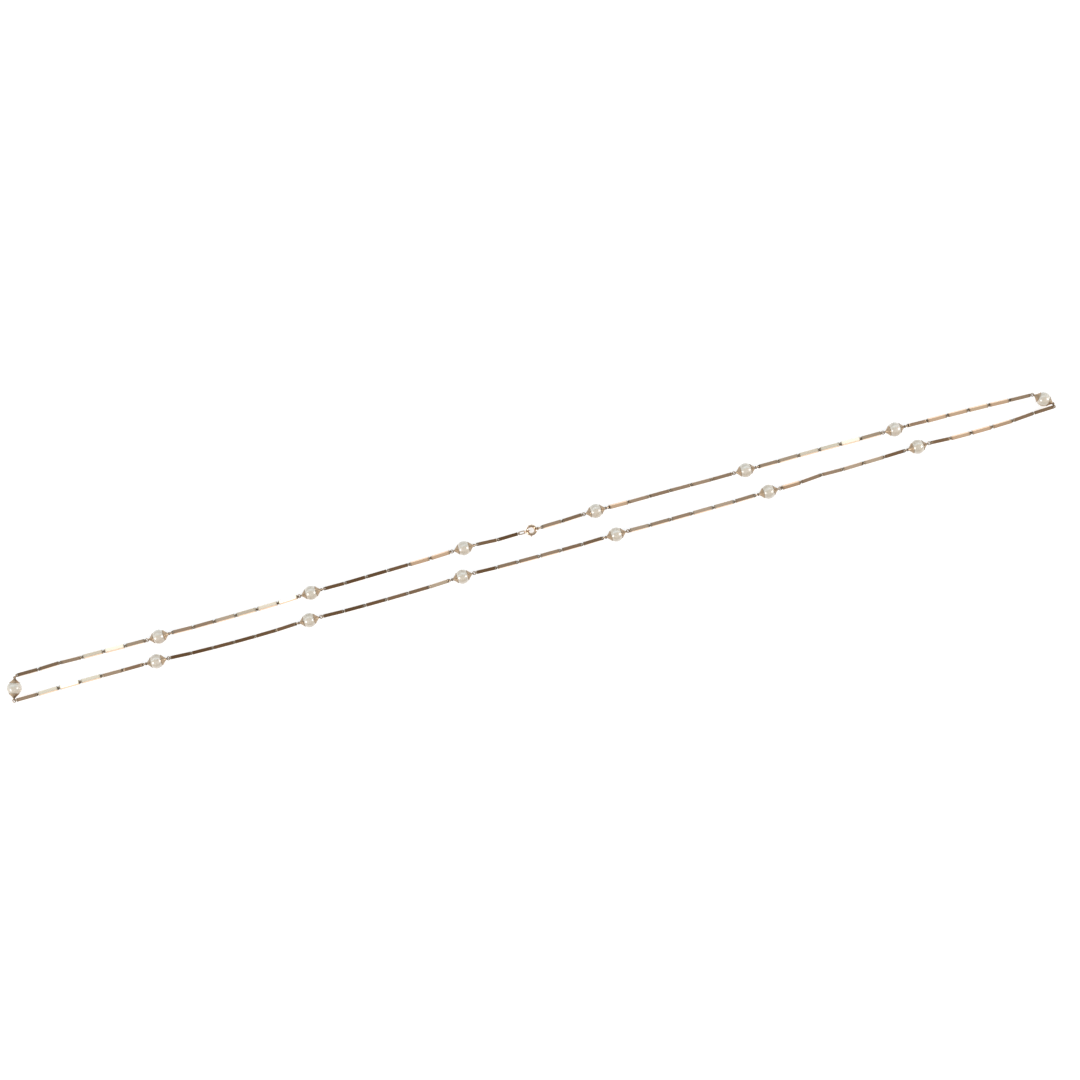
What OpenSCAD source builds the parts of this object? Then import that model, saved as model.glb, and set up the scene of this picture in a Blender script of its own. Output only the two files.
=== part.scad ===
// Long gold chain: square bars linked eye in eye, round pearls between conical caps, and a spring ring.
// It lies as a closed loop on the XY plane, long axis along X, with +Z up.
// Chain order starts at the spring ring, goes to +X, turns at a pearl, comes back and turns again.

/* [Pearls] */
// Diameter of a pearl
pearl_d = 6.0; // [5.6:0.1:6.2]
// Diameter of the hole drilled through a pearl
pearl_bore_d = 0.9; // [0.9:0.05:1.2]
// Diameter of the pin soldered between the two caps
pin_d = 0.7; // [0.5:0.05:0.7]
// Widest diameter of a conical cap
cap_d = 4.4; // [4.3:0.1:4.6]
// Distance from the pearl's centre to the end of a cap's cone
cap_reach = 4.15; // [4.1:0.05:4.3]

/* [Bars] */
// Length of a bar without its eyes
bar_len = 7.92; // [7.85:0.05:8.05]
// Side of a bar's square section
bar_side = 1.45; // [1.2:0.05:1.5]
// Chamfer along a bar's edges
bar_chamfer = 0.12; // [0.05:0.01:0.2]

/* [Links] */
// Diameter of the wire of the eyes and small rings
wire_d = 0.26; // [0.2:0.01:0.26]
// Mean radius of the eye at a bar's end
eye_r = 0.5; // [0.48:0.01:0.52]
// Distance from a bar's end to the centre of its eye
eye_stand = 0.35; // [0.33:0.01:0.37]
// Mean radius of the loop on a cap
loop_r = 0.42; // [0.42:0.01:0.46]
// Mean radius of the ring between a cap and a bar
ring_r = 0.66; // [0.64:0.01:0.7]

/* [Spring ring] */
// Mean radius of the spring ring
clasp_r = 1.75; // [1.7:0.05:1.9]
// Diameter of the spring ring's tube
clasp_tube_d = 1.2; // [1.15:0.05:1.25]
// Diameter of the sliding bolt
bolt_d = 0.72; // [0.6:0.02:0.74]
// Turn of the bolt from shut to open, in degrees
bolt_travel = 54; // [50:1:56]
// Mean radius of the ring that the bolt catches
catch_r = 1.2; // [1.15:0.05:1.25]

/* [Hidden] */
pearl_r = pearl_d / 2;
wire_r = wire_d / 2;
cap_r = cap_d / 2;
clear = 0.1;
fine = 64;
thin = 32;

// Heights of what lies on the surface
pearl_z = pearl_r;
joint_z = 0.93;
clasp_z = 1.2;

// Half section of a cap: its tip, its waist and its rim beside the pearl's middle
cap_tip_r = 0.32;
cap_waist_r = 1.15;
cap_waist_x = cap_reach - 0.95;
cap_rim_x = pearl_r - 0.7;

// A cap's loop and the pin's end, from the pearl's centre
loop_x = cap_reach + 0.25;
pin_end_x = cap_reach - 0.2;

// Where a ring's wire passes a cap's loop, and where a linked wire sits in a bar's eye
pivot = loop_x + 0.02;
eye_hold = 0.36;
bar_gap = 1.21;

// Each pearl in chain order. The pin's heading runs from the arriving to the leaving side,
// and each small ring swings out from the pin's line, in degrees
ST_X = 0; // place along X
ST_Y = 1; // place along Y
ST_TURN = 2; // heading of the pin
ST_ARRIVE = 3; // swing of the ring on the arriving side
ST_LEAVE = 4; // swing of the ring on the leaving side
stations = [
    [  27.9,  5.8,    0,  0,   0],
    [  92.5,  5.3,   -1,  0,   0],
    [ 157.1,  4.9,    0,  0,   0],
    [ 220.6,  0.2,  -40, 15, -50],
    [ 164.2, -4.7, -179,  0,   0],
    [  99.1, -5.9,  180,  0,   0],
    [  33.4, -5.9,  180,  0,   0],
    [ -32.5, -5.5,  181,  0,   0],
    [ -98.0, -5.7,  180,  0,   0],
    [-162.7, -5.0,  178,  0,   0],
    [-221.5,  0.1,   74, 15, -47],
    [-159.2,  4.5,    1,  0,   0],
    [ -94.3,  5.0,    1,  0,   0],
    [ -28.8,  5.7,    0,  0,   0],
];
clasp_x = 0.17;
clasp_y = 5.5;

// The runs of bars in chain order. A positive bow or kink swings to the left of the way along the chain
RUN_BOW = 0; // sideways swing at the middle of the run
RUN_KINK_AT = 1; // joint that is pushed sideways, 0 for none
RUN_KINK = 2; // how far it is pushed
RUN_ROLLS = 3; // turn of each bar about its own axis
runs = [
    [ 0.0, 0,  0.0, [-9, -5]],
    [ 0.2, 0,  0.0, [25, 10, 8, 9, 10, 8]],
    [ 0.3, 0,  0.0, [-7, -11, -14, -14, -16, -10]],
    [ 0.4, 0,  0.0, [7, 25, 23, 26, 23, 9]],
    [ 0.7, 1, -0.3, [-6, -7, -20, -25, -24, -4]],
    [-0.2, 4, -0.4, [-5, -12, -12, -9, -8, -27]],
    [ 0.0, 0,  0.0, [8, 12, 12, 9, 9, 10]],
    [ 0.2, 0,  0.0, [4, 6, 9, 8, 7, -3]],
    [ 0.3, 0,  0.0, [-11, -6, -6, -4, -2, -3]],
    [ 0.5, 0,  0.0, [-4, -4, -3, -4, -2, -2]],
    [-0.3, 0,  0.0, [-6, -10, 15, 18, 15, -9]],
    [ 0.4, 2,  0.2, [-4, -5, 9, -14, -16, -8]],
    [-0.2, 0,  0.0, [-9, -8, -12, -13, -15, -18]],
    [ 0.0, 0,  0.0, [4, 2, 3, 5, 23, 24]],
    [-0.2, 0,  0.0, [5, 3]],
];
pearl_count = len(stations);
run_count = len(runs);

// The spring ring's parts along its circle, in degrees from +X
mouth_from = 115;
mouth_to = 160;
socket_depth = 10;
tip_short = 3;
bolt_tip = mouth_from - socket_depth + tip_short;
nub_at = 254;
nub_half = 8;
bolt_tail = nub_at + nub_half;
spring_room = 12;
bore_end = bolt_tail + bolt_travel + spring_room;
cut_over = 1;
tube_r = clasp_tube_d / 2;
bolt_r = bolt_d / 2;
bore_r = bolt_r + clear;
nub_d = 0.36;
nub_slot = nub_d + 2 * clear;
nub_reach = 0.42;
thumb_d = 0.62;
thumb_t = 0.2;

// The links beside the spring ring
catch_wire_r = 0.2;
catch_shift = 0.2;
catch_x = clasp_x - clasp_r - catch_shift;
catch_z = catch_r + catch_wire_r;
link_r = 0.55;
link_straight = 1.79;
link_play = 0.12;
link_right_x = catch_x - catch_r + wire_r + catch_wire_r + link_play - link_r;
link_left_x = link_right_x - link_straight;
lug_stand = 0.4;
lug_x = clasp_x + clasp_r + tube_r + lug_stand;
lug_pivot_x = lug_x + 0.02;
side_ring_r = 0.85;

function heading(angle) = [cos(angle), sin(angle), 0];
function level_unit(v) = [v[0], v[1], 0] / norm([v[0], v[1]]);
function left_of(v) = [-level_unit(v)[1], level_unit(v)[0], 0];
function sum_to(list, count) = count == 0 ? 0 : list[count - 1] + sum_to(list, count - 1);

function station_centre(i) = [stations[i][ST_X], stations[i][ST_Y], pearl_z];
function leaving_ring(i) =
    station_centre(i) + pivot * heading(stations[i][ST_TURN])
    + ring_r * heading(stations[i][ST_TURN] + stations[i][ST_LEAVE]);
function arriving_ring(i) =
    station_centre(i) - pivot * heading(stations[i][ST_TURN])
    - ring_r * heading(stations[i][ST_TURN] + stations[i][ST_ARRIVE]);

// A run starts at the far side of an upright ring, about whose wire its first bar turns.
// It ends on the wire of a flat ring, round which its last bar can slide to face the run's start
function run_start(r) =
    r == 0 ? [lug_pivot_x + 2 * side_ring_r, clasp_y, clasp_z]
    : leaving_ring(r - 1) + ring_r * heading(stations[r - 1][ST_TURN] + stations[r - 1][ST_LEAVE]);
function run_end(r) =
    let (last = r == run_count - 1,
         centre = last ? [link_left_x, clasp_y, clasp_z] : arriving_ring(r))
    centre + (last ? link_r : ring_r) * level_unit(run_start(r) - centre);
function bars_in(r) = len(runs[r][RUN_ROLLS]);

// How far a bar's two ends stay from the points that it runs between, with the usual play
function room_before(r, k) = k == 0 ? eye_hold : bar_gap / 2;
function room_after(r, k) = k == bars_in(r) - 1 ? eye_hold : bar_gap / 2;

// Plan length of one step of the run when every joint has its usual play
function step_length(r, k) =
    let (drop = k == 0 ? run_start(r)[2] - joint_z
              : k == bars_in(r) - 1 ? run_end(r)[2] - joint_z : 0)
    sqrt(pow(bar_len + room_before(r, k) + room_after(r, k), 2) - pow(drop, 2));

function swing(r, k, share) =
    4 * runs[r][RUN_BOW] * share * (1 - share) + (k == runs[r][RUN_KINK_AT] ? runs[r][RUN_KINK] : 0);

// The points that the bars run between: both ends and every joint
function run_points(r) =
    let (a = run_start(r), b = run_end(r), n = bars_in(r),
         steps = [for (k = [0 : n - 1]) step_length(r, k)],
         whole = sum_to(steps, n), side = left_of(b - a))
    [for (k = [0 : n])
        let (share = sum_to(steps, k) / whole, flat = a + (b - a) * share)
        k == 0 ? a : k == n ? b : [flat[0], flat[1], joint_z] + side * swing(r, k, share)];

module along(from, to) {
    step = to - from;
    translate(from)
        rotate([0, -asin(step[2] / norm(step)), atan2(step[1], step[0])])
            children();
}

module wire_ring(radius, wire) {
    rotate_extrude($fn = fine)
        translate([radius, 0])
            circle(r = wire, $fn = thin);
}

module flat_ring(radius, wire) wire_ring(radius, wire);

module upright_ring(radius, wire) rotate([90, 0, 0]) wire_ring(radius, wire);

module bar_profile() {
    h = bar_side / 2;
    c = h - bar_chamfer;
    polygon([[h, -c], [h, c], [c, h], [-c, h], [-h, c], [-h, -c], [-c, -h], [c, -h]]);
}

// A bar along +X from the origin: its first eye lies flat and its last one stands upright
module bar() {
    rotate([90, 0, 90])
        linear_extrude(bar_len)
            bar_profile();
    translate([-eye_stand, 0, 0])
        flat_ring(eye_r, wire_r);
    translate([bar_len + eye_stand, 0, 0])
        upright_ring(eye_r, wire_r);
}

// A bar between two points, with what its joints have over or under the usual play shared by both ends
module held_bar(from, to, before, after, roll) {
    play = (norm(to - from) - bar_len - before - after) / 2;
    along(from, to)
        translate([before + play, 0, 0])
            rotate([roll, 0, 0])
                bar();
}

module bar_run(r) {
    points = run_points(r);
    n = bars_in(r);
    color("#d9a066") {
        for (k = [0 : n - 1])
            held_bar(points[k], points[k + 1], room_before(r, k), room_after(r, k),
                     runs[r][RUN_ROLLS][k]);
        if (r > 0)
            translate(leaving_ring(r - 1))
                rotate([0, 0, stations[r - 1][ST_TURN] + stations[r - 1][ST_LEAVE]])
                    upright_ring(ring_r, wire_r);
        if (r < run_count - 1)
            translate(arriving_ring(r))
                flat_ring(ring_r, wire_r);
    }
}

module at_station(i) {
    translate(station_centre(i))
        rotate([0, 0, stations[i][ST_TURN]])
            children();
}

// A ball turned about its own bore
module pearl(i) {
    color("#e4dccb")
        at_station(i)
            rotate([0, 90, 0])
                rotate_extrude($fn = fine)
                    intersection() {
                        circle(pearl_r, $fn = fine);
                        translate([pearl_bore_d / 2, -pearl_r])
                            square([pearl_r, pearl_d]);
                    }
}

// Half section of a cap about its axis, hollowed to the pearl
module cap_profile() {
    difference() {
        polygon([[0, cap_reach], [cap_tip_r, cap_reach], [cap_waist_r, cap_waist_x],
                 [cap_r, cap_rim_x], [cap_r, pearl_r / 2], [0, pearl_r / 2]]);
        circle(r = pearl_r + clear, $fn = fine);
    }
}

module cap() {
    rotate([0, 90, 0])
        rotate_extrude($fn = fine)
            cap_profile();
}

module pearl_mount(i) {
    color("#cf9358")
        at_station(i) {
            rotate([0, 90, 0])
                cylinder(d = pin_d, h = 2 * pin_end_x, center = true, $fn = thin);
            cap();
            mirror([1, 0, 0])
                cap();
            translate([loop_x, 0, 0])
                flat_ring(loop_r, wire_r);
            translate([-loop_x, 0, 0])
                upright_ring(loop_r, wire_r);
        }
}

module arc_tube(radius, from, to) {
    rotate([0, 0, from])
        rotate_extrude(angle = to - from, $fn = fine)
            translate([clasp_r, 0])
                circle(r = radius, $fn = thin);
}

module at_clasp() {
    translate([clasp_x, clasp_y, clasp_z])
        children();
}

module clasp_ring() {
    color("#d9a066") {
        at_clasp()
            difference() {
                arc_tube(tube_r, mouth_to, mouth_from + 360);
                arc_tube(bore_r, mouth_to - cut_over, bore_end);
                arc_tube(bore_r, mouth_from - socket_depth, mouth_from + cut_over);
                rotate([0, 0, nub_at - nub_half])
                    rotate_extrude(angle = bolt_travel + 2 * nub_half, $fn = fine)
                        translate([clasp_r, -nub_slot / 2])
                            square([clasp_tube_d, nub_slot]);
            }
        translate([lug_x, clasp_y, clasp_z])
            flat_ring(loop_r, wire_r);
    }
}

module clasp_bolt() {
    color("#c98f52")
        at_clasp() {
            arc_tube(bolt_r, bolt_tip, bolt_tail);
            rotate([0, 0, nub_at])
                translate([clasp_r, 0, 0])
                    rotate([0, 90, 0]) {
                        cylinder(d = nub_d, h = tube_r + nub_reach, $fn = thin);
                        translate([0, 0, tube_r + nub_reach - thumb_t])
                            cylinder(d = thumb_d, h = thumb_t, $fn = thin);
                    }
        }
}

module catch_ring() {
    color("#d9a066")
        translate([catch_x, clasp_y, catch_z])
            upright_ring(catch_r, catch_wire_r);
}

module half_link() {
    rotate([0, 0, -90])
        rotate_extrude(angle = 180, $fn = fine)
            translate([link_r, 0])
                circle(r = wire_r, $fn = thin);
}

module oval_link() {
    color("#d9a066")
        translate([link_left_x, clasp_y, clasp_z]) {
            translate([link_straight, 0, 0])
                half_link();
            rotate([0, 0, 180])
                half_link();
            for (side = [-link_r, link_r])
                translate([0, side, 0])
                    rotate([0, 90, 0])
                        cylinder(r = wire_r, h = link_straight, $fn = thin);
        }
}

module side_ring() {
    color("#d9a066")
        translate([lug_pivot_x + side_ring_r, clasp_y, clasp_z])
            upright_ring(side_ring_r, wire_r);
}

for (i = [0 : pearl_count - 1]) {
    pearl(i);
    pearl_mount(i);
}
for (r = [0 : run_count - 1])
    bar_run(r);
clasp_ring();
clasp_bolt();
catch_ring();
oval_link();
side_ring();
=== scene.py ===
import math

import bmesh
import bpy
import numpy as np
from mathutils import Matrix


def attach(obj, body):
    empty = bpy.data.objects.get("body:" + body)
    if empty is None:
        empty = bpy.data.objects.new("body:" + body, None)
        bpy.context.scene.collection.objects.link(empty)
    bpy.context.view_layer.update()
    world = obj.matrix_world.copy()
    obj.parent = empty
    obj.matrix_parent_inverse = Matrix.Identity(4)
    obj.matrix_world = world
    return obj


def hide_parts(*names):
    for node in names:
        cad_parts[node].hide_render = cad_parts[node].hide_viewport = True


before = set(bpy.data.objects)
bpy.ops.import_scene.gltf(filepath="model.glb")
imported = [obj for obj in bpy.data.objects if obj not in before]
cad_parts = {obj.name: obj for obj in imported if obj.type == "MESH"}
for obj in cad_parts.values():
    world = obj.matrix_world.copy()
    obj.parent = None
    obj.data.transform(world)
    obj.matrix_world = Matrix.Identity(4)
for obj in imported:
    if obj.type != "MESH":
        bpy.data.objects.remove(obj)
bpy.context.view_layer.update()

mm = 0.001  # the shapes below are worked out in millimetres


# The view of the photograph: straight down but for five degrees
cameraView = {
    "target": (2.436, 0.418, 3.0),
    "distance": 800.0,
    "azimuth": 21.2,
    "elevation": 84.9,
    "roll": 5.449,
    "focalShare": 1934.7 / 1080,  # focal length over the picture's width
}


def placeCamera(view):
    az, el, roll = (math.radians(view[k]) for k in ("azimuth", "elevation", "roll"))
    forward = np.array([math.sin(az) * math.cos(el), math.cos(az) * math.cos(el), -math.sin(el)])
    level = np.array([math.cos(az), -math.sin(az), 0.0])
    rise = np.cross(level, forward)
    right = math.cos(roll) * level + math.sin(roll) * rise
    up = -math.sin(roll) * level + math.cos(roll) * rise
    place = (np.array(view["target"]) - forward * view["distance"]) * mm
    data = bpy.data.cameras.new("camera")
    data.sensor_width = 36
    data.lens = 36 * view["focalShare"]
    data.clip_start = 0.01
    data.clip_end = 50
    camera = bpy.data.objects.new("camera", data)
    bpy.context.scene.collection.objects.link(camera)
    matrix = np.eye(4)
    matrix[:3, 0], matrix[:3, 1], matrix[:3, 2], matrix[:3, 3] = right, up, -forward, place
    camera.matrix_world = Matrix(matrix.tolist())
    bpy.context.scene.camera = camera


placeCamera(cameraView)
print("camera placed")


# The chain's plan, the same as in the solids
sizes = {
    "pearlR": 3.0,
    "boreR": 0.45,
    "pinR": 0.35,
    "capR": 2.2,
    "capReach": 4.15,
    "barLength": 7.92,
    "barSide": 1.45,
    "wireR": 0.13,
    "eyeR": 0.5,
    "eyeStand": 0.35,
    "loopR": 0.42,
    "ringR": 0.66,
    "eyeHold": 0.36,
    "barGap": 1.21,
    "jointZ": 0.93,
    "loopBeyond": 0.25,
    "loopPlay": 0.02,
}
# x, y, heading of the pin, swing of the arriving and of the leaving ring
stations = np.array([
    [27.9, 5.8, 0, 0, 0],
    [92.5, 5.3, -1, 0, 0],
    [157.1, 4.9, 0, 0, 0],
    [220.6, 0.2, -40, 15, -50],
    [164.2, -4.7, -179, 0, 0],
    [99.1, -5.9, 180, 0, 0],
    [33.4, -5.9, 180, 0, 0],
    [-32.5, -5.5, 181, 0, 0],
    [-98.0, -5.7, 180, 0, 0],
    [-162.7, -5.0, 178, 0, 0],
    [-221.5, 0.1, 74, 15, -47],
    [-159.2, 4.5, 1, 0, 0],
    [-94.3, 5.0, 1, 0, 0],
    [-28.8, 5.7, 0, 0, 0],
], float)
# bow, kinked joint, kink, roll of each bar
runs = [
    (0.0, 0, 0.0, (-9, -5)),
    (0.2, 0, 0.0, (25, 10, 8, 9, 10, 8)),
    (0.3, 0, 0.0, (-7, -11, -14, -14, -16, -10)),
    (0.4, 0, 0.0, (7, 25, 23, 26, 23, 9)),
    (0.7, 1, -0.3, (-6, -7, -20, -25, -24, -4)),
    (-0.2, 4, -0.4, (-5, -12, -12, -9, -8, -27)),
    (0.0, 0, 0.0, (8, 12, 12, 9, 9, 10)),
    (0.2, 0, 0.0, (4, 6, 9, 8, 7, -3)),
    (0.3, 0, 0.0, (-11, -6, -6, -4, -2, -3)),
    (0.5, 0, 0.0, (-4, -4, -3, -4, -2, -2)),
    (-0.3, 0, 0.0, (-6, -10, 15, 18, 15, -9)),
    (0.4, 2, 0.2, (-4, -5, 9, -14, -16, -8)),
    (-0.2, 0, 0.0, (-9, -8, -12, -13, -15, -18)),
    (0.0, 0, 0.0, (4, 2, 3, 5, 23, 24)),
    (-0.2, 0, 0.0, (5, 3)),
]
clasp = {
    "x": 0.17,
    "y": 5.5,
    "z": 1.2,
    "r": 1.75,
    "tubeR": 0.6,
    "boltR": 0.36,
    "mouthFrom": 115,
    "mouthTo": 160,
    "boltTip": 108,
    "nubAt": 254,
    "boltTail": 262,
    "slotFrom": 246,
    "slotTo": 316,
    "catchR": 1.2,
    "catchWire": 0.2,
    "linkR": 0.55,
    "linkStraight": 1.79,
    "sideRingR": 0.85,
    "linkWire": 0.21,
    # painted shade: darker metal colour on the tube and catch ring, against their bright highlights, and on the oval
    # link, side ring and lug loop
    "dull": 0.4,
    "linkShade": 0.6,
    "catchShift": 0.2,
    "linkPlay": 0.12,
    "lugStand": 0.4,
    "boltRoom": 0.1,
    "slotHalf": 0.28,
    "seamHalf": 0.002,
    "mouthEdge": (0.05, 0.015, 0.0),  # how far the tube draws in at its ends
    "stemR": 0.18,
    "thumbEdgeR": 0.27,
    "thumbR": 0.31,
    "thumbReach": 0.42,
}
loopX = sizes["capReach"] + sizes["loopBeyond"]
pivot = loopX + sizes["loopPlay"]
catchX = clasp["x"] - clasp["r"] - clasp["catchShift"]
linkRightX = (catchX - clasp["catchR"] + sizes["wireR"] + clasp["catchWire"] + clasp["linkPlay"]
              - clasp["linkR"])
linkLeftX = linkRightX - clasp["linkStraight"]
lugX = clasp["x"] + clasp["r"] + clasp["tubeR"] + clasp["lugStand"]
lugPivotX = lugX + sizes["loopPlay"]


def heading(angle):
    a = math.radians(angle)
    return np.array([math.cos(a), math.sin(a), 0.0])


def turned(roll, pitch, yaw):
    # turns about X, then Y, then Z, in degrees
    a, b, c = (math.radians(v) for v in (roll, pitch, yaw))
    rx = np.array([[1, 0, 0], [0, math.cos(a), -math.sin(a)], [0, math.sin(a), math.cos(a)]])
    ry = np.array([[math.cos(b), 0, math.sin(b)], [0, 1, 0], [-math.sin(b), 0, math.cos(b)]])
    rz = np.array([[math.cos(c), -math.sin(c), 0], [math.sin(c), math.cos(c), 0], [0, 0, 1]])
    return rz @ ry @ rx


def stationCentre(i):
    return np.array([stations[i][0], stations[i][1], sizes["pearlR"]])


def leavingRing(i):
    turn, swing = stations[i][2], stations[i][4]
    return stationCentre(i) + pivot * heading(turn) + sizes["ringR"] * heading(turn + swing)


def arrivingRing(i):
    turn, swing = stations[i][2], stations[i][3]
    return stationCentre(i) - pivot * heading(turn) - sizes["ringR"] * heading(turn + swing)


def runEnds(r):
    if r == 0:
        start = np.array([lugPivotX + 2 * clasp["sideRingR"], clasp["y"], clasp["z"]])
    else:
        start = leavingRing(r - 1) + sizes["ringR"] * heading(stations[r - 1][2] + stations[r - 1][4])
    last = r == len(runs) - 1
    centre = np.array([linkLeftX, clasp["y"], clasp["z"]]) if last else arrivingRing(r)
    way = (start - centre) * [1, 1, 0]
    return start, centre + (clasp["linkR"] if last else sizes["ringR"]) * way / np.linalg.norm(way)


def barPlaces(r):
    # where each bar of a run begins, and how it is turned
    bow, kinkAt, kink, rolls = runs[r]
    a, b = runEnds(r)
    n = len(rolls)
    before = [sizes["eyeHold"] if k == 0 else sizes["barGap"] / 2 for k in range(n)]
    after = [sizes["eyeHold"] if k == n - 1 else sizes["barGap"] / 2 for k in range(n)]
    steps = []
    for k in range(n):
        drop = a[2] - sizes["jointZ"] if k == 0 else b[2] - sizes["jointZ"] if k == n - 1 else 0
        steps.append(math.sqrt((sizes["barLength"] + before[k] + after[k]) ** 2 - drop ** 2))
    share = np.concatenate([[0], np.cumsum(steps)]) / sum(steps)
    side = np.array([-(b - a)[1], (b - a)[0], 0]) / np.hypot(*(b - a)[:2])
    points = []
    for k in range(n + 1):
        flat = a + (b - a) * share[k]
        swing = 4 * bow * share[k] * (1 - share[k]) + (kink if k == kinkAt else 0)
        joint = np.array([flat[0], flat[1], sizes["jointZ"]]) + side * swing
        points.append(a if k == 0 else b if k == n else joint)
    places = []
    for k in range(n):
        step = points[k + 1] - points[k]
        length = np.linalg.norm(step)
        play = (length - sizes["barLength"] - before[k] - after[k]) / 2
        yaw = math.degrees(math.atan2(step[1], step[0]))
        pitch = -math.degrees(math.asin(step[2] / length))
        matrix = turned(0, pitch, yaw)
        origin = points[k] + matrix @ np.array([before[k] + play, 0, 0])
        places.append((matrix @ turned(rolls[k], 0, 0), origin))
    return places


class Shape:
    # gathers grids of points into one mesh, and keeps each point's place on its own bar, pearl or ring,
    # and how far its metal colour is darkened: painted shade at the eyes, rings, loops and bar ends where parts
    # meet, a darker tone on caps and clasp
    def __init__(self):
        self.points, self.local, self.dulled, self.faces, self.count = [], [], [], [], 0

    def addGrid(self, grid, matrix, origin, shift=0.0, closeRows=True, capRows=False, dull=0.0):
        rows, columns = grid.shape[:2]
        flat = grid.reshape(-1, 3)
        self.points.append(flat @ np.asarray(matrix).T + origin)
        self.local.append(flat + [shift, 0.37 * shift, -0.61 * shift])
        self.dulled.append(np.broadcast_to(dull, (rows, columns)).ravel())
        i = np.arange(rows if closeRows else rows - 1)[:, None]
        j = np.arange(columns)[None, :]
        i1, j1 = (i + 1) % rows, (j + 1) % columns
        quads = np.stack([i * columns + j, i1 * columns + j, i1 * columns + j1, i * columns + j1], -1)
        self.faces += (quads.reshape(-1, 4) + self.count).tolist()
        if capRows:
            self.faces.append((np.arange(columns)[::-1] + self.count).tolist())
            self.faces.append((np.arange(columns) + (rows - 1) * columns + self.count).tolist())
        self.count += len(flat)

    def finish(self, name, material, body, node, slot):
        mesh = bpy.data.meshes.new(name)
        mesh.from_pydata((np.concatenate(self.points) * mm).tolist(), [], self.faces)
        place = mesh.attributes.new("ownPlace", "FLOAT_VECTOR", "POINT")
        place.data.foreach_set("vector", np.concatenate(self.local).ravel().astype(np.float32))
        dulled = mesh.attributes.new("dulled", "FLOAT", "POINT")
        dulled.data.foreach_set("value", np.concatenate(self.dulled).astype(np.float32))
        work = bmesh.new()
        work.from_mesh(mesh)
        bmesh.ops.recalc_face_normals(work, faces=work.faces)
        work.to_mesh(mesh)
        work.free()
        mesh.shade_smooth()
        mesh.materials.append(material)
        piece = bpy.data.objects.new(name, mesh)
        bpy.context.scene.collection.objects.link(piece)
        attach(piece, body)
        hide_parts(node)
        return piece


def ringGrid(radius, wire, upright=False, around=28, section=10):
    # a round wire bent to a circle, lying flat or standing upright along X
    u = np.linspace(0, 2 * np.pi, around, endpoint=False)[:, None]
    v = np.linspace(0, 2 * np.pi, section, endpoint=False)[None, :]
    reach = radius + wire * np.cos(v)
    x, y, z = reach * np.cos(u), reach * np.sin(u), wire * np.sin(v) + 0 * u
    return np.stack([x, -z, y] if upright else [x, y, z], -1)


def spunGrid(profile, around=64):
    # a closed outline (along X, distance from X) turned right round the X axis
    u = np.linspace(0, 2 * np.pi, around, endpoint=False)[:, None]
    x, r = profile[:, 0][None, :], profile[:, 1][None, :]
    return np.stack([x + 0 * u, r * np.cos(u), r * np.sin(u)], -1)


def pathGrid(path, across, up, outline):
    # an outline (across, up) carried along a path, with its two directions given at each point
    return path[:, None, :] + outline[..., 0:1] * across[:, None, :] + outline[..., 1:2] * up[:, None, :]


barLook = {
    "corner": 0.03,
    "support": 0.012,
    "crown": 0.004,
    "endRound": 0.07,
    # how far from each bar end the painted shade of the joint reaches
    "endShadeReach": 0.25,
    "solder": 0.1,  # what the polished solder adds at each end
    "eyeWire": 0.23,  # thicker than the solids' 0.13, for darker joints, so linked eyes overlap a little
    "ringWire": 0.2,
    # painted shade on the linked eyes and the rings between runs, darkening their metal colour
    "eyeShade": 1.0,
    "ringShade": 0.6,
}


def barGrid():
    # a square with rounded corners and slightly crowned faces, drawn along X; its rings near the ends draw in
    half, corner = sizes["barSide"] / 2, barLook["corner"]
    arc = np.radians(np.linspace(0, 90, 5))
    points, normals = [], []
    for quarter in range(4):
        spin = quarter * np.pi / 2
        turn = np.array([[np.cos(spin), -np.sin(spin)], [np.sin(spin), np.cos(spin)]])
        centre = np.array([half - corner, half - corner])
        inner = half - corner - barLook["support"]
        side = [([half, -inner], [1, 0])]
        side.append(([half + barLook["crown"], 0], [1, 0]))
        side.append(([half, inner], [1, 0]))
        side += [(centre + corner * np.array([np.cos(a), np.sin(a)]), [np.cos(a), np.sin(a)]) for a in arc]
        for point, normal in side:
            points.append(turn @ np.asarray(point, float))
            normals.append(turn @ np.asarray(normal, float))
    points, normals = np.array(points), np.array(normals)
    start, e = -barLook["solder"], barLook["endRound"]
    end = sizes["barLength"] - start
    nearEnd = [(0, e), (0.3 * e, 0.3 * e), (e, 0), (e + 0.05, 0), (0.3, 0), (0.55, 0), (1.0, -0.002)]
    rings = [(start + x, inset) for x, inset in nearEnd] + [((start + end) / 2, -0.006)]
    rings += [(end - x, inset) for x, inset in nearEnd[::-1]]
    x = np.array([ring[0] for ring in rings])[:, None]
    inset = np.array([ring[1] for ring in rings])[:, None, None]
    yz = points[None] - inset * normals[None]
    return np.concatenate([np.broadcast_to(x[..., None], yz.shape[:2] + (1,)), yz], -1)


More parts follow.
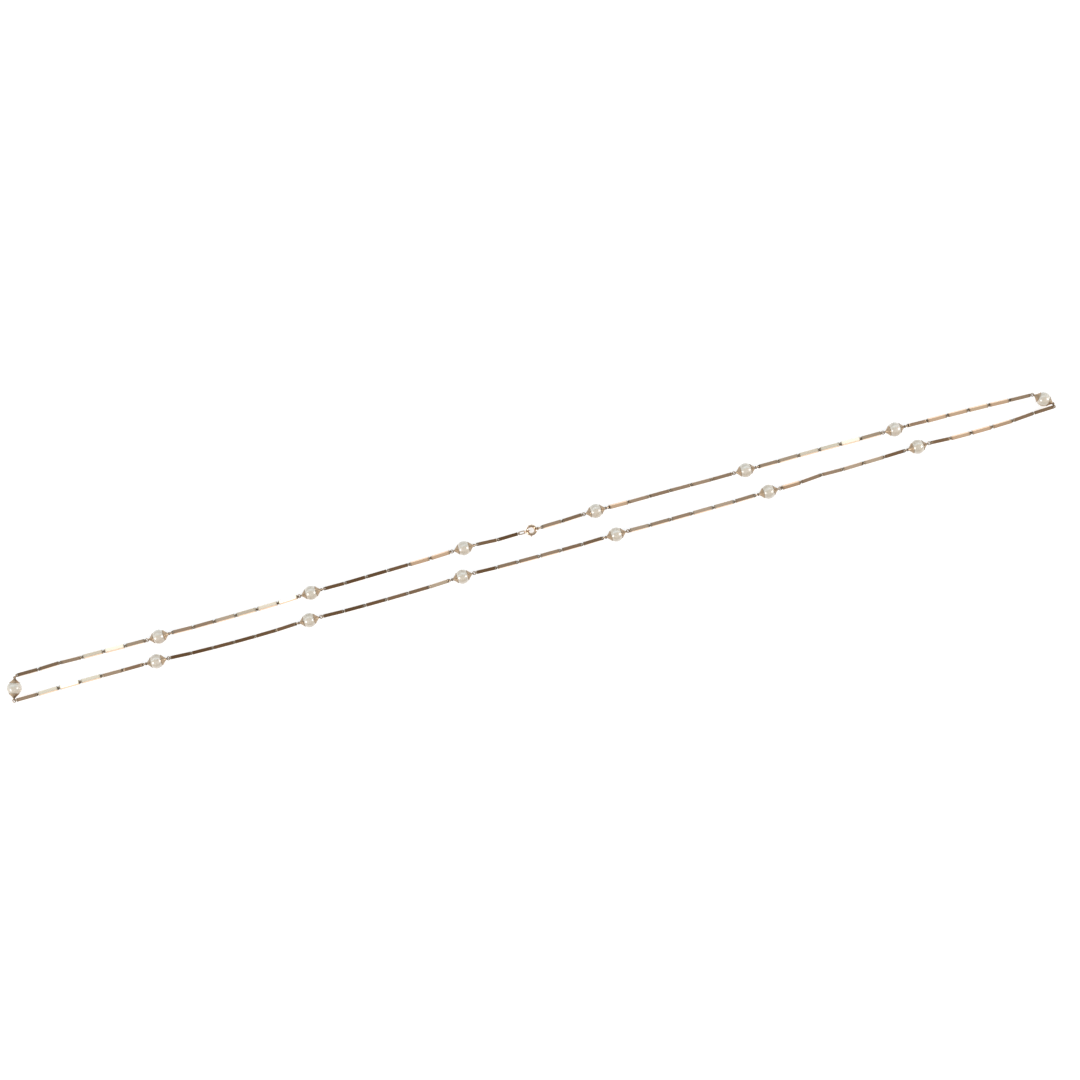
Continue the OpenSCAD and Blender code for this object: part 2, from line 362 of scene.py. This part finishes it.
def makeRuns(material):
    bar = barGrid()
    flatEye, uprightEye = (ringGrid(sizes["eyeR"], barLook["eyeWire"], up) for up in (False, True))
    flatRing, uprightRing = (ringGrid(sizes["ringR"], barLook["ringWire"], up, 36) for up in (False, True))
    stand = sizes["eyeStand"]
    # painted shade: each bar's metal colour darkens towards its ends, where it meets the joints
    fromEnd = np.minimum(bar[..., 0], sizes["barLength"] - bar[..., 0]).clip(0)
    endShade = np.exp(-fromEnd / barLook["endShadeReach"])
    for r in range(len(runs)):
        shape = Shape()
        for k, (matrix, origin) in enumerate(barPlaces(r)):
            shift = 23.0 * (r * 6 + k)
            shape.addGrid(bar, matrix, origin, shift, closeRows=False, capRows=True, dull=endShade)
            shape.addGrid(flatEye, matrix, origin + matrix @ [-stand, 0, 0], shift,
                          dull=barLook["eyeShade"])
            shape.addGrid(uprightEye, matrix, origin + matrix @ [sizes["barLength"] + stand, 0, 0], shift,
                          dull=barLook["eyeShade"])
        if r > 0:
            turn = turned(0, 0, stations[r - 1][2] + stations[r - 1][4])
            shape.addGrid(uprightRing, turn, leavingRing(r - 1), 7.0 * r, dull=barLook["ringShade"])
        if r < len(runs) - 1:
            shape.addGrid(flatRing, np.eye(3), arrivingRing(r), 11.0 * r, dull=barLook["ringShade"])
        shape.finish(f"barRun_{r + 1}", material, "chain", f"bar_run_{r + 1}", "gold")


pearlLook = {"around": 72, "along": 40, "uneven": 0.012}


def makePearls(material):
    rng = np.random.default_rng(5)
    for i in range(len(stations)):
        # a ball about its bore, with a few slow waves of a hundredth of a millimetre on its radius
        edge = math.asin(sizes["boreR"] / sizes["pearlR"])
        angle = np.linspace(edge, np.pi - edge, pearlLook["along"])
        outer = np.stack([np.cos(angle), np.sin(angle)], -1) * sizes["pearlR"]
        inner = np.stack([np.linspace(outer[-1, 0], outer[0, 0], 6)[1:-1], np.full(4, sizes["boreR"])], -1)
        grid = spunGrid(np.concatenate([outer, inner]), pearlLook["around"])
        unit = grid / np.linalg.norm(grid, axis=-1, keepdims=True)
        waves = sum(np.sin(unit @ rng.normal(0, 2.2, 3) + rng.uniform(0, 6)) for _ in range(4)) / 4
        waves[:, pearlLook["along"]:] = 0
        grid = grid * (1 + pearlLook["uneven"] / sizes["pearlR"] * waves[..., None])
        shape = Shape()
        shape.addGrid(grid, turned(0, 0, stations[i][2]), stationCentre(i), 31.0 * i)
        shape.finish(f"pearl_{i + 1}", material, "chain", f"pearl_{i + 1}", "pearl")


capLook = {
    "tipR": 0.36,
    "waist": (3.2, 1.15),
    "rimX": 2.3,
    "clear": 0.1,
    "pinRoom": 0.15,
    "pinShort": 0.2,
    "loopWire": 0.2,
    # how far a darker, greyer tone is mixed into the caps' metal colour
    "dull": 0.85,
}


def capProfile():
    # outside from the tip down a gently hollow cone to a rolled rim, then back up inside along the pearl
    reach, rimR = sizes["capReach"], sizes["capR"]
    t = np.linspace(0, 1, 14)[:, None]
    tip, waist, rim = (np.array(p) for p in ((reach, capLook["tipR"]), capLook["waist"], (capLook["rimX"], rimR)))
    bend = 2 * waist - (tip + rim) / 2
    cone = (1 - t) ** 2 * tip + 2 * t * (1 - t) * bend + t ** 2 * rim
    inside = sizes["pearlR"] + capLook["clear"]
    rimInX = math.sqrt(inside ** 2 - rimR ** 2)
    bead = (rim[0] + rimInX) / 2
    beadR = (rim[0] - rimInX) / 2
    a = np.radians(np.linspace(90, -90, 7))[1:-1]
    lip = np.stack([bead + beadR * np.sin(a), rimR + 0.45 * beadR * np.cos(a)], -1)
    s = np.linspace(math.asin(rimR / inside), math.asin(sizes["pinR"] / inside), 10)
    hollow = np.stack([np.cos(s), np.sin(s)], -1) * inside
    # the pin hides the narrow way back to the tip
    back = np.array([[inside, capLook["pinRoom"]], [reach, capLook["pinRoom"]]])
    return np.concatenate([cone, lip, hollow, back])


def makeMounts(material):
    profile = capProfile()
    cap = spunGrid(profile, 56)
    half = sizes["capReach"] - capLook["pinShort"]
    pin = spunGrid(np.array([[-half, 0.02], [-half, sizes["pinR"]], [half, sizes["pinR"]], [half, 0.02]]), 24)
    flatLoop, uprightLoop = (ringGrid(sizes["loopR"], capLook["loopWire"], up) for up in (False, True))
    for i in range(len(stations)):
        shape = Shape()
        matrix, centre = turned(0, 0, stations[i][2]), stationCentre(i)
        shape.addGrid(cap, matrix, centre, 19.0 * i, dull=capLook["dull"])
        shape.addGrid(cap * [-1, 1, 1], matrix, centre, 19.0 * i + 9, dull=capLook["dull"])
        shape.addGrid(pin, matrix, centre, 3.0 * i)
        away = matrix @ [loopX, 0, 0]
        # the loops at the cap tips get the full painted shade of the joints in their metal colour
        shape.addGrid(flatLoop, matrix, centre + away, 5.0 * i, dull=1.0)
        shape.addGrid(uprightLoop, matrix, centre - away, 5.0 * i + 2, dull=1.0)
        shape.finish(f"pearlMount_{i + 1}", material, "chain", f"pearl_mount_{i + 1}", "gold")


def arcGrid(radius, fromAngle, toAngle, outlines):
    # an outline (outward, up) for each step of an arc about the spring ring's centre
    a = np.radians(np.linspace(fromAngle, toAngle, len(outlines)))
    out = np.stack([np.cos(a), np.sin(a), 0 * a], -1)
    up = np.broadcast_to([0.0, 0.0, 1.0], out.shape)
    return pathGrid(radius * out, out, up, outlines)


def makeClasp(material):
    centre = np.array([clasp["x"], clasp["y"], clasp["z"]])
    flat = np.eye(3)
    # the tube is a wall between two circles, open outward where the thumb piece slides
    steps = 160
    angles = np.linspace(clasp["mouthTo"], clasp["mouthFrom"] + 360, steps)
    inSlot = (angles > clasp["slotFrom"]) & (angles < clasp["slotTo"])
    wallR = clasp["boltR"] + clasp["boltRoom"]
    outlines = []
    for step, open_ in enumerate(inSlot):
        fade = min(step, steps - 1 - step)
        tubeR = clasp["tubeR"] - clasp["mouthEdge"][min(fade, 2)]
        gap = clasp["slotHalf"] if open_ else clasp["seamHalf"]
        outer = np.linspace(math.asin(gap / tubeR), 2 * np.pi - math.asin(gap / tubeR), 30)
        inner = np.linspace(2 * np.pi - math.asin(gap / wallR), math.asin(gap / wallR), 20)
        ring = np.concatenate([np.stack([np.cos(outer), np.sin(outer)], -1) * tubeR,
                               np.stack([np.cos(inner), np.sin(inner)], -1) * wallR])
        outlines.append(ring)
    shape = Shape()
    shape.addGrid(arcGrid(clasp["r"], clasp["mouthTo"], clasp["mouthFrom"] + 360, np.array(outlines)),
                  flat, centre, 3.0, closeRows=False, capRows=True, dull=clasp["dull"])
    shape.addGrid(ringGrid(sizes["loopR"], clasp["linkWire"]), flat, [lugX, clasp["y"], clasp["z"]], 5.0,
                  dull=clasp["linkShade"])
    shape.finish("claspRing", material, "chain", "clasp_ring", "gold")

    shape = Shape()
    v = np.linspace(0, 2 * np.pi, 18, endpoint=False)
    circle = np.stack([np.cos(v), np.sin(v)], -1)
    radii = clasp["boltR"] * np.array([0.35, 0.8, 1.0] + [1.0] * 34 + [1.0, 0.8])
    shape.addGrid(arcGrid(clasp["r"], clasp["boltTip"], clasp["boltTail"], radii[:, None, None] * circle),
                  flat, centre, 8.0, closeRows=False, capRows=True)
    reach = clasp["tubeR"] + clasp["thumbReach"]
    stem, edge, thumb = clasp["stemR"], clasp["thumbEdgeR"], clasp["thumbR"]
    outline = np.array([[0, 0.01], [0, stem], [reach - 0.22, stem], [reach - 0.2, edge], [reach - 0.16, thumb],
                        [reach - 0.04, thumb], [reach, edge], [reach, 0.01]])
    nub = heading(clasp["nubAt"])
    shape.addGrid(spunGrid(outline, 28), turned(0, 0, clasp["nubAt"]), centre + clasp["r"] * nub, 4.0)
    shape.finish("claspBolt", material, "bolt", "clasp_bolt", "gold")

    shape = Shape()
    shape.addGrid(ringGrid(clasp["catchR"], clasp["catchWire"], True, 56, 16), flat,
                  [catchX, clasp["y"], clasp["catchR"] + clasp["catchWire"]], 6.0, dull=clasp["dull"])
    shape.finish("catchRing", material, "chain", "catch_ring", "gold")

    # two half circles joined by two straights, walked once round
    shape = Shape()
    a = np.radians(np.linspace(-90, 90, 17))
    right = np.stack([clasp["linkStraight"] + clasp["linkR"] * np.cos(a), clasp["linkR"] * np.sin(a), 0 * a], -1)
    left = np.stack([-clasp["linkR"] * np.cos(a), -clasp["linkR"] * np.sin(a), 0 * a], -1)
    path = np.concatenate([right, left])
    bend = np.stack([np.cos(a), np.sin(a), 0 * a], -1)
    out = np.concatenate([bend, -bend])
    up = np.broadcast_to([0.0, 0.0, 1.0], out.shape)
    outline = np.broadcast_to(circle * clasp["linkWire"], (len(path), 18, 2))
    shape.addGrid(pathGrid(path, out, up, outline), flat, [linkLeftX, clasp["y"], clasp["z"]], 2.0,
                  dull=clasp["linkShade"])
    shape.finish("ovalLink", material, "chain", "oval_link", "gold")

    shape = Shape()
    shape.addGrid(ringGrid(clasp["sideRingR"], clasp["linkWire"], True, 44, 14), flat,
                  [lugPivotX + clasp["sideRingR"], clasp["y"], clasp["z"]], 1.0, dull=clasp["linkShade"])
    shape.finish("sideRing", material, "chain", "side_ring", "gold")


class Value:
    # a number that a node gives, so that sums on it add Math nodes
    def __init__(self, paint, socket):
        self.paint, self.socket = paint, socket

    def sum(self, operation, first, second):
        return self.paint.node("ShaderNodeMath", {"operation": operation}, {0: first, 1: second}).value()

    def __add__(self, other):
        return self.sum("ADD", self, other)

    def __sub__(self, other):
        return self.sum("SUBTRACT", self, other)

    def __rsub__(self, other):
        return self.sum("SUBTRACT", other, self)

    def __mul__(self, other):
        return self.sum("MULTIPLY", self, other)

    __radd__ = __add__
    __rmul__ = __mul__


class Made:
    # a node just made, and its outputs
    def __init__(self, paint, node):
        self.paint, self.nodeMade = paint, node

    def value(self, name=0):
        return Value(self.paint, self.nodeMade.outputs[name])

    def out(self, name=0):
        return self.nodeMade.outputs[name]


class Paint:
    def __init__(self, name, tree=None):
        if tree is None:
            self.material = bpy.data.materials.new(name)
            self.material.use_nodes = True
            tree = self.material.node_tree
        self.tree = tree
        tree.nodes.clear()

    def node(self, kind, settings=None, sockets=None):
        made = self.tree.nodes.new(kind)
        for key, setting in (settings or {}).items():
            if key == "stops":
                ramp = made.color_ramp
                while len(ramp.elements) > 1:
                    ramp.elements.remove(ramp.elements[0])
                ramp.elements[0].position = setting[0][0]
                ramp.elements[0].color = setting[0][1]
                for position, colour in setting[1:]:
                    ramp.elements.new(position).color = colour
            else:
                setattr(made, key, setting)
        for key, given in (sockets or {}).items():
            socket = made.inputs[key]
            if isinstance(given, Value):
                given = given.socket
            if isinstance(given, bpy.types.NodeSocket):
                self.tree.links.new(given, socket)
            else:
                socket.default_value = given
        return Made(self, made)

    def place(self, scale):
        # the point's place on its own bar, pearl or ring, in millimetres, stretched by the scale
        spot = self.node("ShaderNodeAttribute", {"attribute_name": "ownPlace"})
        return self.node("ShaderNodeVectorMath", {"operation": "MULTIPLY"}, {0: spot.out("Vector"), 1: scale}).out()

    def noise(self, scale, detail=2.0, roughness=0.5, distortion=0.0):
        return self.node("ShaderNodeTexNoise", {}, {"Vector": self.place(scale), "Scale": 1.0, "Detail": detail,
                                                    "Roughness": roughness, "Distortion": distortion}).value("Fac")

    def mixed(self, factor, first, second):
        return self.node("ShaderNodeMix", {"data_type": "RGBA"}, {"Factor": factor, 6: first, 7: second}).out(2)

    def finish(self, sockets):
        shader = self.node("ShaderNodeBsdfPrincipled", {}, sockets)
        self.node("ShaderNodeOutputMaterial", {}, {"Surface": shader.out("BSDF")})
        return self.material


goldLook = {
    "rose": (0.87, 0.60, 0.405, 1),
    "yellow": (0.87, 0.64, 0.435, 1),
    # dark metal colour mixed in by the darkening mask: painted shade at the joints and bar ends, a darker tone on
    # caps and clasp
    "dulled": (0.33, 0.243, 0.158, 1),
    "dullRough": 0.22,
    "roughSpread": 0.02,
    "bump": 0.006,
    "barRough": 0.12,
    "capRough": 0.2,
    "claspRough": 0.17,
}


def goldPaint(name, look, roughness):
    # polished alloy: a slow drift between rosier and yellower metal, faint drawn lines along each bar, and fine
    # wear; the darkening mask mixes in a dark colour, painted shade at the joints and bar ends and a darker tone on
    # caps and clasp
    paint = Paint(name)
    tint = paint.noise((0.05, 0.05, 0.05), 1.0)
    drawn = paint.noise((0.35, 9.0, 9.0), 3.0, 0.6)
    wear = paint.noise((2.2, 2.2, 2.2), 4.0, 0.65, 0.4)
    dulled = paint.node("ShaderNodeAttribute", {"attribute_name": "dulled"}).value("Fac")
    polished = paint.mixed(tint * 2.2 - 0.6, look["rose"], look["yellow"])
    # painted shade: the metal colour is darkened towards the dark colour by the mesh's darkening share, broken up by
    # the wear noise
    colour = paint.mixed(dulled * (0.7 + wear * 0.5), polished, look["dulled"])
    rough = roughness + (drawn - 0.5) * look["roughSpread"] + (wear - 0.5) * look["roughSpread"]
    rough = rough + dulled * look["dullRough"]
    bump = paint.node("ShaderNodeBump", {}, {"Strength": look["bump"], "Distance": 0.00002,
                                             "Height": drawn * 0.6 + wear * 0.4})
    return paint.finish({"Base Color": colour, "Metallic": 1.0, "Roughness": rough, "Normal": bump.out()})


pearlPaintLook = {
    "cream": (0.69, 0.575, 0.435, 1),
    "white": (0.72, 0.625, 0.505, 1),
    "green": (0.635, 0.565, 0.455, 1),
    "pink": (0.70, 0.56, 0.475, 1),
    "rough": 0.2,
    "grainRough": 0.1,
    "bump": 0.08,
    "ior": 1.53,
    "coatRough": 0.33,
    "coatIor": 1.9,
}


def pearlPaint(look):
    # nacre: cream body with slow clouds of white, a green and a pink overtone, and growth rings about the bore
    paint = Paint("pearlNacre")
    cloud = paint.noise((0.28, 0.28, 0.28), 2.0)
    overtone = paint.noise((0.2, 0.33, 0.26), 1.0, 0.4)
    rings = paint.noise((2.4, 0.15, 0.15), 2.0, 0.5)
    grain = paint.noise((5.0, 5.0, 5.0), 3.0, 0.6)
    body = paint.mixed(cloud * 2.4 - 0.7, look["cream"], look["white"])
    body = paint.mixed(overtone * 1.6 - 0.72, body, look["green"])
    body = paint.mixed(0.72 - overtone * 1.6, body, look["pink"])
    rough = look["rough"] + grain * look["grainRough"]
    bump = paint.node("ShaderNodeBump", {}, {"Strength": look["bump"], "Distance": 0.00003,
                                             "Height": rings * 0.5 + grain * 0.5})
    return paint.finish({"Base Color": body, "Roughness": rough, "Normal": bump.out(), "IOR": look["ior"],
                         "Coat Weight": 1.0, "Coat Roughness": look["coatRough"], "Coat IOR": look["coatIor"]})


barGold = goldPaint("barGold", goldLook, goldLook["barRough"])
capGold = goldPaint("capGold", goldLook, goldLook["capRough"])
claspGold = goldPaint("claspGold", goldLook, goldLook["claspRough"])
nacre = pearlPaint(pearlPaintLook)
print("materials made")

makeRuns(barGold)
print("bar runs made")
makePearls(nacre)
makeMounts(capGold)
print("pearls and mounts made")
makeClasp(claspGold)
print("spring ring made")


stageLook = {
    "floor": (0.5, 0.5, 0.5, 1),
    "floorGlow": 0.71,
    "floorHalf": 4,
    "backdrop": (1, 1, 1, 1),
    # brightness of the studio by the way across the chain, from the near horizon over the top to the far one,
    # and how warm (below zero) or cool (above) its light is
    "across": [(0.0, 0.10, 0.0), (0.08, 0.19, 0.0), (0.16, 0.40, -0.3), (0.20, 0.50, -0.3), (0.22, 0.62, -0.1),
               (0.25, 0.68, 0.0), (0.275, 0.64, -0.1), (0.30, 0.53, -0.2), (0.36, 0.50, 0.0), (0.385, 0.67, 0.5),
               (0.40, 0.56, 0.3), (0.415, 0.42, 0.1), (0.435, 0.35, 0.0), (0.45, 0.26, -0.4), (0.465, 0.215, -0.7),
               (0.48, 0.165, -0.95), (0.50, 0.125, -1.0), (0.55, 0.15, -0.8), (0.585, 0.235, -0.4),
               (0.60, 0.30, -0.2), (0.63, 0.385, 0.1), (0.65, 0.42, 0.2), (0.66, 0.60, 0.5), (0.672, 0.68, 0.6),
               (0.685, 0.95, 1.0), (0.70, 1.2, 1.1), (0.715, 2.3, 1.1), (0.755, 3.3, 1.0), (0.77, 1.2, 0.8),
               (0.80, 0.75, 0.3), (0.90, 0.50, 0.1), (1.0, 0.35, 0.0)],
    "warm": (1.0, 0.78, 0.54),
    "cool": (0.78, 1.0, 1.2),
    # the two lamps: way to the lamp, distance, diameter, power
    "lamps": [((-0.83, -0.22, 0.52), 2.5, 0.5, 29.0), ((0.84, -0.22, 0.50), 2.5, 0.5, 29.0)],
}


def makeFloor(look):
    # pale paper: the camera and the polished metal also see it lit from behind, as on a light table
    mesh = bpy.data.meshes.new("floor")
    half = look["floorHalf"]
    mesh.from_pydata([(-half, -half, 0), (half, -half, 0), (half, half, 0), (-half, half, 0)], [], [(0, 1, 2, 3)])
    paint = Paint("paleFloor")
    spot = paint.node("ShaderNodeTexCoord")
    soft = paint.node("ShaderNodeTexNoise", {}, {"Vector": spot.out("Object"), "Scale": 3.0}).value("Fac")
    shade = paint.mixed(soft, look["floor"], tuple(c * 0.985 for c in look["floor"][:3]) + (1,))
    paper = paint.node("ShaderNodeBsdfDiffuse", {}, {"Color": shade})
    glow = paint.node("ShaderNodeEmission", {}, {"Color": (1, 1, 1, 1), "Strength": look["floorGlow"]})
    both = paint.node("ShaderNodeAddShader", {}, {0: paper.out(), 1: glow.out()})
    path = paint.node("ShaderNodeLightPath")
    seen = path.value("Is Camera Ray") + path.value("Is Glossy Ray")
    mixed = paint.node("ShaderNodeMixShader", {}, {0: seen, 1: paper.out(), 2: both.out()})
    paint.node("ShaderNodeOutputMaterial", {}, {"Surface": mixed.out()})
    mesh.materials.append(paint.material)
    floor = bpy.data.objects.new("floor", mesh)
    bpy.context.scene.collection.objects.link(floor)


def makeSky(look):
    world = bpy.data.worlds.new("studio")
    bpy.context.scene.world = world
    world.use_nodes = True
    sky = Paint("sky", world.node_tree)
    way = sky.node("ShaderNodeTexCoord").out("Generated")
    parts = sky.node("ShaderNodeSeparateXYZ", {}, {0: way})
    # the angle from the near horizon over the top to the far one, as a share of the half circle
    angle = sky.node("ShaderNodeMath", {"operation": "ARCTAN2"}, {0: parts.out("Z"), 1: parts.value("Y") * -1.0})
    peak = 1.3 * max(stop[1] for stop in look["across"])
    stops = []
    for position, level, coolness in look["across"]:
        tint = 1 + (np.array(look["cool" if coolness > 0 else "warm"]) - 1) * abs(coolness)
        stops.append((position, tuple(level / peak * tint) + (1,)))
    shade = sky.node("ShaderNodeValToRGB", {"stops": stops}, {"Fac": angle.value() * (1 / math.pi)})
    studio = sky.node("ShaderNodeBackground", {}, {"Color": shade.out("Color"), "Strength": peak})
    backdrop = sky.node("ShaderNodeBackground", {}, {"Color": look["backdrop"], "Strength": 1.0})
    seen = sky.node("ShaderNodeLightPath").out("Is Camera Ray")
    mixed = sky.node("ShaderNodeMixShader", {}, {0: seen, 1: studio.out(), 2: backdrop.out()})
    sky.node("ShaderNodeOutputWorld", {}, {"Surface": mixed.out()})


def makeLamps(look):
    for number, (way, distance, width, power) in enumerate(look["lamps"]):
        data = bpy.data.lights.new(f"lamp_{number + 1}", "AREA")
        data.shape = "DISK"
        data.size = width
        data.energy = power
        lamp = bpy.data.objects.new(data.name, data)
        back = np.array(way) / np.linalg.norm(way)
        place = back * distance
        level = np.cross([0, 0, 1], back)
        level /= np.linalg.norm(level)
        matrix = np.eye(4)
        matrix[:3, 0], matrix[:3, 1], matrix[:3, 2], matrix[:3, 3] = level, np.cross(back, level), back, place
        lamp.matrix_world = Matrix(matrix.tolist())
        lamp.visible_camera = False
        bpy.context.scene.collection.objects.link(lamp)


makeFloor(stageLook)
makeSky(stageLook)
makeLamps(stageLook)
bpy.context.scene.view_settings.view_transform = "Standard"
print("stage made")
